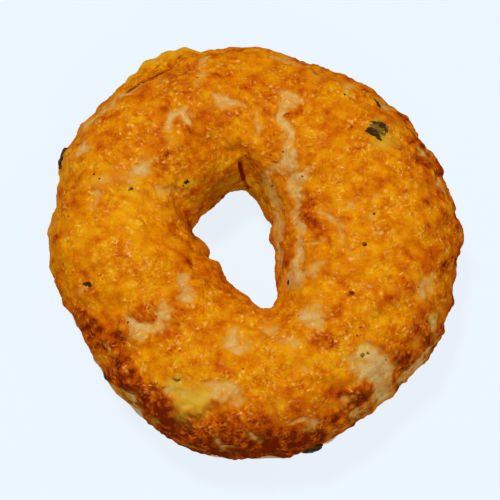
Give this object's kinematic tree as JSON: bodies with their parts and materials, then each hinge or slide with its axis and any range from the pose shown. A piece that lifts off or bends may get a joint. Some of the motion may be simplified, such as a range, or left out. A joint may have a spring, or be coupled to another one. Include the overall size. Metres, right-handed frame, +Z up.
{
  "type": "jalapeno cheddar bagel",
  "caption": "Ring of baked dough with an off-centre hole, a knobbly skin of toasted cheddar, a cheese tongue over its rim, bits of jalapeno and a flat base.",
  "frame": {"origin": "centre of the part's box at the height of its flat base, on the surface that it rests on", "axes": "+Z up out of the flat base, +Y towards the top of the bagel as seen from above, where the cheese tongue hangs over the rim a little to the left, +X to the right"},
  "size_m": [0.1112, 0.1124, 0.0377],
  "materials": {
    "crust": "toasted melted cheddar, oily sheen, golden to deep brown",
    "dough": "baked dough, pale tan, browned under the base",
    "jalapeno": "charred jalapeno skin, near black with olive green"
  },
  "bodies": {
    "root": {"bagel": "crust"}
  },
  "joints": []
}
